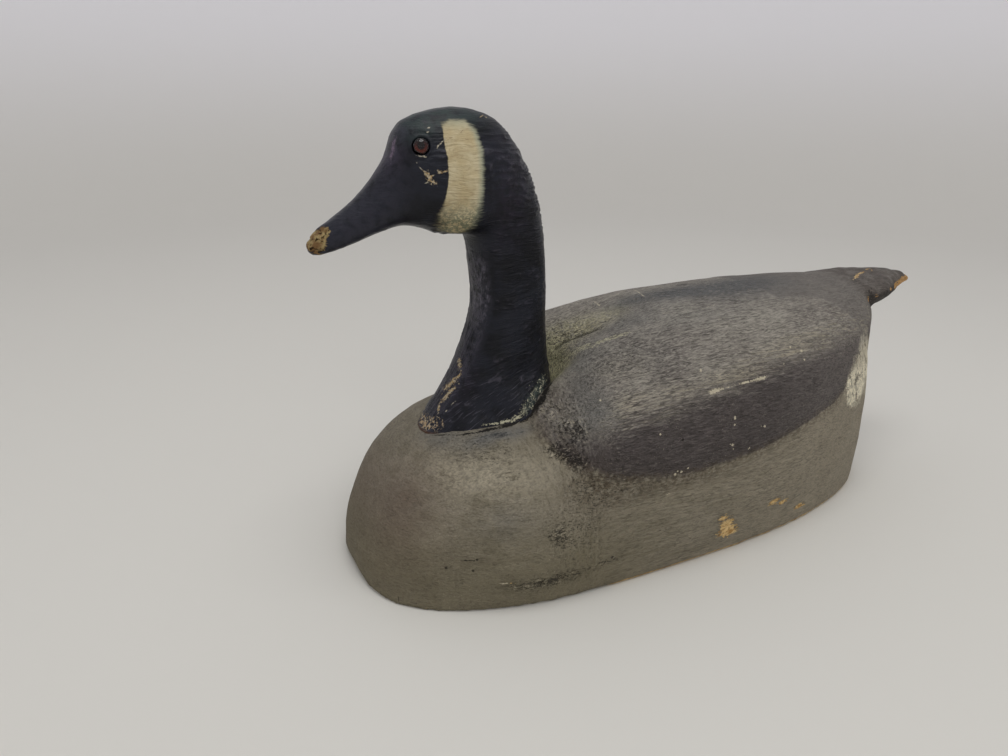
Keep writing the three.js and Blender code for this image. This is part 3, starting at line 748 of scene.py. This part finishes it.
head = {
    "cell": 0.84, "smoothing": 26,
    "foot": (121, 99.5, 8),  # middle of the foot along X, its height, and its slope in degrees
    # how far the strokes fall forward at each height
    "fallZ": [90, 120, 160, 200, 240], "fall": [0.8, 0.65, 0.3, 0.08, 0],
    # length and width of the strokes, level and upright ones
    "strokeSize": (12, 1.8), "uprightStrokeSize": (11, 2.4), "strokeDepth": 0.55,
    "waveLength": 3.1, "waveDepth": 0.1,
    # outline of the cheek patch seen from the side: [along, height]
    "cheek": [(152, 287.5), (157.4, 285.5), (158.2, 276), (157.6, 266), (157.7, 258), (158.8, 251),
        (160, 245), (161, 240.5), (162.5, 236), (162, 229), (156, 220), (146, 220), (141.5, 227),
        (139.3, 235), (137.2, 249), (136.2, 262), (136.2, 273), (138, 282), (143, 287)],
    # middle of the left eye, where it looks, and its rim: reach, height and width, then the groove's
    "eye": (171.35, 18.2, 274), "eyeLook": (0.29, 0.88, 0.37),
    "rim": (5.75, 0.75, 0.75), "rimGroove": (7.75, 0.5, 1.1),
    # middle, reach along X, Y and Z, and the move
    "nudges": [((154, 27, 97), (14, 15, 9), (0.5, 5.5, -2.2)), ((132, 27, 99), (16, 16, 10), (0, 7.5, -2.6)),
        ((109, 27, 105), (14, 17, 12), (0, 12, -2.8)), ((93, 22, 113), (9, 14, 13), (-1, 9, -1)),
        ((107, 34, 111), (12, 12, 9), (-1, 6, -1)), ((154, -27, 97), (14, 15, 9), (0.5, -5.5, -2.2)),
        ((132, -27, 99), (16, 16, 10), (0, -7.5, -2.6)), ((109, -27, 105), (14, 17, 12), (0, -9, -2.4)),
        ((168, 4, 95), (7, 16, 5), (0.8, 0.5, -1.0))],
    # brow, wear and tints: middle, reach along X, Y and Z, and strength
    "spots": {
        "brow": [((170, 17.5, 281.5), (9, 4, 2.6), 0.5), ((176, 17, 264), (9, 5, 3), -0.35),
          ((163, 21, 270), (5, 4, 9), 0.35)],
        "tip": [((234, 3, 224), (6.5, 8, 7.5), 1.25), ((227.5, 6, 229), (6, 5, 5), 0.8),
          ((230, 5, 221), (5, 6, 6), 0.9), ((233, -5, 222), (5, 5, 7), 0.8)],
        "footTip": [((168.5, 4, 97), (5, 9, 4.5), 1.1), ((163, 11, 99.5), (5, 6, 4.5), 0.8),
          ((168, -6, 97), (5, 6, 4.5), 0.9), ((162, -12, 99), (5, 6, 4), 0.6)],
        "foreheadHighlight": [((184, 4, 270), (6, 9, 11), 1), ((177, 5, 281), (6, 8, 4), 0.6),
          ((190, 0, 256), (4, 8, 8), 0.5)],
        "purple": [((150, 5, 135), (14, 14, 26), 1), ((118, 18, 246), (12, 14, 30), 0.8)],
    },
    "colours": {
        "black": (28, 30, 38), "dullBlack": (43, 43, 52), "blackDeep": (14, 15, 20), "purple": (44, 38, 52),
          "crown": (38, 51, 49), "violetHighlight": (58, 52, 66), "crest": (104, 100, 111), "sheen": (150, 128, 150),
          "cream": (180, 164, 127), "creamPale": (198, 187, 154), "creamGrey": (148, 154, 134),
          "groove": (112, 90, 62), "grime": (98, 104, 84), "tipWood": (150, 132, 92),
          "tipBrown": (112, 86, 56), "tipPit": (44, 30, 10), "chip": (166, 138, 92),
          "chipPale": (180, 172, 152), "footWood": (172, 140, 98), "rust": (84, 52, 24),
          "putty": (190, 186, 160), "puttyGrey": (64, 71, 66)},
    # size of the marks in millimetres, detail, roughness, distortion and shift
    "noises": {
        "cloud": (17, 3, 0.6), "blotch": (5, 3, 0.6, 0, 3), "speckle": (0.9, 2, 0.6, 0, 5),
        "upright": ((0.9, 0.9, 8), 3, 0.6, 0.5, 7), "grime": ((2.2, 2.2, 1.3), 3, 0.7, 0.8, 9),
        "wear": ((3.2, 2.4, 2.0), 3, 0.65, 0.8, 13), "pits": (2.5, 2, 0.6, 0.8, 17),
        "crumbs": ((1.5, 1.5, 2.2), 2, 0.6, 0.8, 19), "crumble": (1.5, 2, 0.7, 0, 23)},
    # noises that run with the carved strokes: length, width, detail and distortion
    "strokeNoises": {"brush": (8, 0.85, 3, 0.5), "glints": (11, 0.8, 2, 0.4), "waves": (9, 2.2, 2, 0.6)},
    # start, end and half width
    "marks": {
        "chips": [((163.6, 24, 260.2), (161.8, 24.4, 259.6), 0.8),
          ((160.2, 24.6, 260.2), (158.8, 24.8, 260.5), 0.6),
          ((171.9, 21.7, 260.7), (169.5, 22.7, 258.5), 0.9),
          ((169.5, 22.7, 258.5), (167.9, 23.4, 255.3), 1.5),
          ((167.9, 23.4, 255.3), (165.2, 24.2, 253.7), 0.8), ((168.7, 23, 257.6), (167, 23.4, 258.2), 0.5),
          ((132.3, 12.7, 289), (128.9, 10, 290.2), 0.4), ((128.9, 10, 290.2), (126.3, 11.3, 288.4), 0.5),
          ((143.3, 2.4, 137.1), (144.1, 6, 134.3), 1.7), ((145.1, 9.3, 130.8), (147.7, 7.3, 127.2), 1.1),
          ((147.7, 7.3, 127.2), (153.2, 1.8, 119.4), 2.0), ((149.7, 10, 122.3), (153.5, 7.2, 117.8), 1.3),
          ((153.5, 7.2, 117.8), (156.9, 5.9, 113.1), 1.6), ((158.4, 3.6, 111.1), (161.7, 8, 105.1), 0.8),
          ((152, -9, 122), (156, -8, 115), 0.9), ((166, -23.6, 254), (163, -24.2, 258), 0.8),
          ((96, -10, 262), (94, -6, 256), 0.7)],
        "flecks": [((171.1, 22.5, 254), (169.7, 22.9, 254.4), 0.35),
          ((164.6, 14.7, 283.8), (165.6, 14.9, 283.4), 0.45), ((165.8, 16.2, 281.2), (167, 16.3, 281), 0.45),
          ((162.4, 20.9, 273.4), (159.6, 20.4, 276), 0.4), ((159.6, 20.4, 276), (157, 20.1, 277.7), 0.35),
          ((175.4, 19.4, 266.1), (174.4, 20.5, 263.8), 0.25),
          ((174.2, 20.6, 263.4), (172.2, 21.5, 261), 0.25),
          ((152.3, 14.1, 113.9), (154.7, 13.2, 111.3), 0.35),
          ((156.6, 12.8, 109.2), (157.6, 12.4, 107.4), 0.35), ((109.6, 24.9, 146), (110.4, 24.9, 145.6), 0.6),
          ((128, 22.5, 187), (128.2, 22.5, 184.5), 0.5), ((174.6, 20, 269.4), (170.4, 21, 269), 0.95)],
        # painted sheen highlights on the forehead
        "shines": [((182.7, 5.2, 276.3), (184, 6.6, 272), 1.7), ((184, 6.6, 272), (185.7, 7.4, 267.2), 1.2)],
        # filler behind the foot
        "putties": [((137, 31, 101.6), (128.4, 33, 101.8), 0.7), ((129, 33, 101.8), (120, 35, 103.3), 1.1),
          ((121, 35, 103), (114, 37, 106), 1.4), ((114, 36.5, 107), (108, 35.5, 111), 2.3),
          ((109, 35, 111), (103, 32.5, 115), 3.8), ((103, 32, 115.5), (97, 29, 120), 4.4),
          ((97, 28, 120), (91, 24, 124), 3.2), ((131, -33, 100), (116, -35, 104), 1.8),
          ((116, -35, 104), (102, -34, 110), 3.2)],
        "cheekMarks": [((148.2, 20, 280.7), (146.3, 19.2, 282), 0.3),
          ((145.8, 21.5, 277.6), (143, 22, 276.7), 0.35), ((157, 20.1, 277.7), (152, 20.4, 278.6), 0.3),
          ((152.4, 21, 238.4), (151, 21, 238), 0.5)],
    },
    "bumpDepth": 0.8, "roughness": 0.24, "specular": 0.22,
}


# How far each point lies from the line that the nearer eye looks along
def fromEye(p):
    look = np.array(head["eyeLook"])
    look = look / np.linalg.norm(look)
    away = np.stack([p[:, 0], np.abs(p[:, 1]), p[:, 2]], 1) - np.array(head["eye"])
    return np.linalg.norm(away - (away @ look)[:, None] * look, axis=1)


def ring(far, reach, height, width):
    return height * np.exp(-((far - reach) / width) ** 2)


def carveHead():
    piece = carvingBlank("head_and_neck", "gooseHeadAndNeck", head["cell"], head["smoothing"])
    nudge(piece, head["nudges"])
    p = pointsOf(piece)
    normals = normalsOf(piece)
    x, y, z = p.T
    side = np.abs(y)
    fields = {name: spots(p, places) for name, places in head["spots"].items() if name != "brow"}
    brow = spots(np.stack([x, side, z], 1), head["spots"]["brow"])
    footX, footZ, slope = head["foot"]
    overFoot = z - footZ + (x - footX) * math.tan(math.radians(slope))

    # strokes are level across the cheek, fall forward towards the foot, and stand upright on the front and back
    fall = np.interp(z, head["fallZ"], head["fall"])
    wander = 1.6 * softNoise(p, 19, 21) + 0.8 * softNoise(p, 7, 22)
    across = (z + (x - 118) * fall + wander) / np.sqrt(1 + fall ** 2)
    along = (x - (z - 150) * fall) / np.sqrt(1 + fall ** 2)
    upright = rise(np.abs(normals[:, 0]), 0.6, 0.85) * rise(z, 225, 195)
    length, width = head["strokeSize"]
    crest = 1 - np.abs(softNoise(np.stack([along, across, y], 1), (length, width, length), 31)) * 2.2
    length, width = head["uprightStrokeSize"]
    crestUp = 1 - np.abs(softNoise(np.stack([z, y + x * 0.3, x], 1), (length, width, length), 32)) * 2.2
    crest = np.clip(crest * (1 - upright) + crestUp * upright, 0, 1) ** 2

    cheek = np.minimum(insideOutline(x, z, head["cheek"]), side - 12)
    onFace = rise(x, 160, 168) * rise(z, 205, 222)
    strength = (1 - 0.8 * onFace) * (1 - 0.75 * rise(z, 274, 286)) * rise(overFoot, 0.5, 4)
    strength *= (0.3 + 0.7 * rise(softNoise(p, 10, 24), -0.6, 0.3)) * (1 - 0.6 * rise(cheek, -1, 2))

    farFromEye = fromEye(p)
    rim = ring(farFromEye, *head["rim"]) - ring(farFromEye, *head["rimGroove"])
    pits = rise(softNoise(p, (3.4, 3.4, 2.2), 27), 0.12, 0.6)
    waves = np.sin((z + wander * 1.4) / head["waveLength"] * 2 * math.pi)
    relief = head["strokeDepth"] * (crest - 0.35) * strength * (1 + 0.6 * rise(z, 205, 235))
    relief += head["waveDepth"] * rise(cheek, -1, 2) * waves
    relief += 0.5 * softNoise(p, 30, 25) * rise(overFoot, 1, 6) * (1 - onFace)
    relief += 0.16 * softNoise(p, 9, 26) * rise(overFoot, 1, 5)
    relief += rim * (0.7 + 0.3 * softNoise(p, 2.5, 33)) + brow
    relief -= rise(fields["tip"], 0.4, 0.8) * (0.35 + 1.1 * pits)
    relief -= 0.5 * rise(fields["footTip"], 0.5, 0.9) * pits
    pushOut(piece, relief)

    fields.update(cheek=cheek, along=along, across=across, upright=upright, crest=crest * strength,
                  overFoot=overFoot, crown=rise(z, 270, 284) * rise(x, 118, 150) * rise(side, 22, 12))
    keepFields(piece, fields)
    return piece


def headFinish():
    f = Finish("wornHeadPaint", head)
    cheek, crest, tip, overFoot = (f.field(name) for name in ("cheek", "crest", "tip", "overFoot"))
    cloud, blotch, speckle = (f.grain(name) for name in ("cloud", "blotch", "speckle"))

    # brush marks that run with the carved strokes
    def strokes(name):
        length, width, detail, distortion = head["strokeNoises"][name]
        flow = f.node("ShaderNodeCombineXYZ", {0: f.math("DIVIDE", f.field("along"), length),
                                               1: f.math("DIVIDE", f.field("across"), width)})
        return f.node("ShaderNodeTexNoise", {"Vector": flow.outputs[0], "Scale": 1.0, "Detail": detail,
                                             "Distortion": distortion}).outputs["Fac"]

    brush = f.blend(f.field("upright"), strokes("brush"), f.grain("upright"))
    line = f.crossing(brush, 0.09, 0.0)

    # black paint: deep and dull places, worn crests with painted highlights, thin painted glints near the foot,
    # a painted sheen on the front, the crown's tint with painted light, and a painted violet highlight on the
    # forehead
    black = f.mix(f.step(cloud, 0.35, 0.65), "blackDeep", "black")
    black = f.over(black, "purple", f.field("purple"), f.step(blotch, 0.3, 0.7))
    nearFoot = f.stepZ(158, 118)
    dull = f.most(f.times(f.field("upright"), 0.7), f.times(f.stepX(168, 196), 0.8))
    black = f.over(black, "dullBlack", dull, f.step(blotch, 0.25, 0.6))
    # worn crests, painted paler as wear and as painted highlights
    worn = f.times(f.step(crest, 0.5, 0.9), f.step(blotch, 0.38, 0.6))
    black = f.over(black, "crest", worn, f.total(0.2, (nearFoot, 0.1)))
    # painted glints along the strokes near the foot
    glints = f.times(f.step(strokes("glints"), 0.59, 0.63), f.times(nearFoot, f.step(blotch, 0.36, 0.56)))
    black = f.over(black, "crest", glints, 0.28)
    # a painted sheen of pale lines on the front and back of the neck
    frontSheen = f.times(f.math("POWER", f.field("upright"), 3.0), f.times(line, f.step(blotch, 0.4, 0.6)))
    black = f.over(black, "crest", frontSheen, f.total(0.25, (f.stepZ(150, 180), 0.6)))
    # a greenish tint with painted light on the top of the head
    black = f.over(black, "crown", f.field("crown"), f.step(blotch, 0.25, 0.65))
    # a painted violet highlight on the forehead
    black = f.over(black, "violetHighlight", f.field("foreheadHighlight"), f.step(blotch, 0.3, 0.6))

    # cream paint on the cheek: waves, a grey hind edge, and grime low down, where it fades
    low, rear, high = f.stepZ(248, 229), f.stepX(147, 138), f.stepZ(281, 287)
    cream = f.mix(f.step(cloud, 0.35, 0.65), "cream", "creamPale")
    waves = f.crossing(strokes("waves"), 0.06, 0.01)
    cream = f.over(cream, "groove", f.step(brush, 0.5, 0.3), 0.2)
    cream = f.over(cream, "groove", waves, f.times(f.step(blotch, 0.3, 0.6), 0.28))
    edge = f.most(f.times(rear, f.step(cheek, 4.5, 0.5)), f.times(high, 0.6))
    cream = f.over(cream, "creamGrey", edge, 0.75)
    cream = f.over(cream, "grime", f.times(low, f.step(f.grain("grime"), 0.40, 0.56)), 0.9)
    soft = f.total(0.7, (rear, 2.2), (low, 5.0), (high, 1.6))
    rag = f.plus(f.swing(brush, f.times(soft, 1.3)), f.swing(blotch, 1.6))
    inCheek = f.step(f.plus(cheek, rag), f.times(soft, -0.55), f.times(soft, 0.55))
    faded = f.times(f.stepX(152, 163), f.times(low, f.step(blotch, 0.3, 0.6)))
    inCheek = f.times(inCheek, f.total(1.0, (faded, -0.7)))
    f.coat = f.mix(inCheek, black, cream)
    # a painted sheen highlight on the forehead
    f.lay("sheen", f.marks("shines", 0.9), f.times(f.step(speckle, 0.3, 0.6), 0.4))

    # worn bill tip and foot, down to the wood
    wornTip = f.step(f.plus(tip, f.swing(f.grain("wear"), 1.2)), 0.58, 0.66)
    pits = f.step(f.grain("pits"), 0.55, 0.63)
    tipWood = f.mix(f.step(blotch, 0.4, 0.6), "tipBrown", "tipWood")
    f.lay(f.mix(pits, tipWood, "tipPit"), wornTip)
    crumbs = f.grain("crumbs")
    wornFoot = f.step(f.total(crumbs, (f.field("footTip"), 0.16)), 0.66, 0.70)
    wornFoot = f.times(wornFoot, f.step(f.field("footTip"), 0.15, 0.4))
    f.lay(f.mix(f.step(speckle, 0.35, 0.65), "footWood", "chipPale"), wornFoot)
    f.lay("rust", f.times(f.step(overFoot, 2.2, 0.6), f.step(blotch, 0.35, 0.55)), 0.8)

    # chips and flecks, marks on the cheek, and crumbling filler behind the foot
    chips = f.marks("chips", 1.0)
    f.lay(f.mix(f.step(speckle, 0.35, 0.65), "chip", "chipPale"), chips)
    f.lay("chipPale", f.marks("flecks", 1.1), 0.8)
    f.lay("groove", f.marks("cheekMarks", 0.8), 0.6)
    putty = f.marks("putties", 0.9)
    front = f.stepX(109, 117)
    keep = f.most(f.step(f.grain("crumble"), 0.42, 0.56), f.times(front, 0.85))
    paste = f.mix(f.most(front, f.step(crumbs, 0.52, 0.64)), "puttyGrey", "putty")
    f.lay(paste, putty, f.total(0.45, (keep, 0.5)))

    bare = f.most(f.most(chips, wornTip), wornFoot)
    brushed = f.blend(f.stepZ(220, 260), 1.0, f.blend(inCheek, 0.4, 0.8))
    brushed = f.blend(f.stepX(163, 175), brushed, f.times(f.step(cloud, 0.35, 0.65), 0.5))
    height = f.total(0.0, (brush, brushed), (speckle, 0.2), (bare, -0.5), (putty, 0.8))
    rough = f.blend(inCheek, f.total(head["roughness"], (blotch, 0.22)), 0.7)
    f.give(Base_Color=f.coat, Roughness=f.blend(f.most(bare, putty), rough, 0.9),
           Normal=f.bump(height, head["bumpDepth"]), Specular_IOR_Level=head["specular"])
    return f.material


gooseHead = carveHead()
settle(gooseHead, "head_and_neck", headFinish())
print("head ready", len(gooseHead.data.polygons) * 2)

# Glass eyes, a clear dome over an amber iris with a dark pupil

eye = {"reach": 4.5, "proud": 2.15, "behind": 0.85, "middle": 0.2, "segments": 40, "rings": 24,
       "bumpDepth": 0.12, "irisReach": 4.15, "irisThick": 1.2, "irisDeep": 0.75, "irisRound": 0.4,
       "irisSides": 48, "irisRoundSteps": 3,
       # where the pupil ends, the dark rim begins and the amber begins below; the iris is painted darker above
       # and brighter below as painted light through the glass
       "pupil": (2.3, 1.8), "darkRim": (3.7, 4.4), "paintedLightBelow": (276.5, 271.5),
       "colours": {"pupil": (18, 10, 8), "amber": (92, 30, 16), "dark": (34, 19, 15)},
       "noises": {"glass": (2.0, 1), "rim": (1.2, 2)},
       "glassRoughness": 0.02, "glassBend": 1.45, "glassSpecular": 0.3, "irisRoughness": 0.8}


# A clear dome, flatter in front and flat behind, which looks along Z
def eyeDome():
    bpy.ops.mesh.primitive_uv_sphere_add(segments=eye["segments"], ring_count=eye["rings"],
                                         radius=eye["reach"] * mm)
    dome = bpy.context.object
    middle = eye["middle"] * mm
    for choose, depth in ((lambda face: face.center.z < middle, eye["behind"]),
                          (lambda face: face.center.z > middle, eye["proud"])):
        pickFaces(dome, choose)
        bpy.ops.transform.resize(value=(1, 1, depth / eye["reach"]), center_override=(0, 0, 0))
        bpy.ops.object.mode_set(mode="OBJECT")
    return dome


# The painted disk behind the glass
def eyeIris():
    bpy.ops.mesh.primitive_cylinder_add(vertices=eye["irisSides"], radius=eye["irisReach"] * mm,
                                        depth=eye["irisThick"] * mm, location=(0, 0, -eye["irisDeep"] * mm),
                                        end_fill_type="TRIFAN")
    iris = bpy.context.object
    bpy.ops.object.transform_apply(location=True, rotation=True, scale=True)
    applyModifier(iris, "BEVEL", width=eye["irisRound"] * mm, segments=eye["irisRoundSteps"],
                  limit_method="ANGLE")
    keepFields(iris, {"reach": np.linalg.norm(pointsOf(iris)[:, :2], axis=1)})
    return iris


# A copy with its own mesh, turned and moved to one side of the head
def setEye(model, side, name):
    piece = copyOf(model, name)
    x, y, z = head["eye"]
    lookX, lookY, lookZ = head["eyeLook"]
    piece.rotation_mode = "QUATERNION"
    piece.rotation_quaternion = Vector((lookX, lookY * side, lookZ)).to_track_quat("Z", "Y")
    piece.location = Vector((x, y * side, z)) * mm
    bpy.ops.object.transform_apply(location=True, rotation=True, scale=True)
    bpy.ops.object.shade_smooth()
    return piece


def glassFinish():
    f = Finish("clearGlass", eye)
    f.give(Base_Color=(1, 1, 1, 1), Roughness=eye["glassRoughness"], Transmission_Weight=1.0,
           IOR=eye["glassBend"], Specular_IOR_Level=eye["glassSpecular"],
           Normal=f.bump(f.grain("glass"), eye["bumpDepth"]))
    return f.material


def irisFinish():
    f = Finish("amberIris", eye)
    reach = f.field("reach")
    # painted light: darker above, brighter amber below
    amber = f.mix(f.stepZ(*eye["paintedLightBelow"]), "dark", "amber")
    amber = f.over(amber, "pupil", f.step(f.plus(reach, f.grain("rim")), *eye["darkRim"]))
    colour = f.over(amber, "pupil", f.step(reach, *eye["pupil"]))
    f.give(Base_Color=colour, Roughness=eye["irisRoughness"], Specular_IOR_Level=0.0)
    return f.material


dome, iris = eyeDome(), eyeIris()
glass, amber = glassFinish(), irisFinish()
for side, word in ((1, "Left"), (-1, "Right")):
    node = "eye_" + word.lower()
    settle(setEye(dome, side, "eyeGlass" + word), node, glass)
    settle(setEye(iris, side, "eyeIris" + word), node, amber)
bpy.data.objects.remove(dome)
bpy.data.objects.remove(iris)
print("eyes ready")
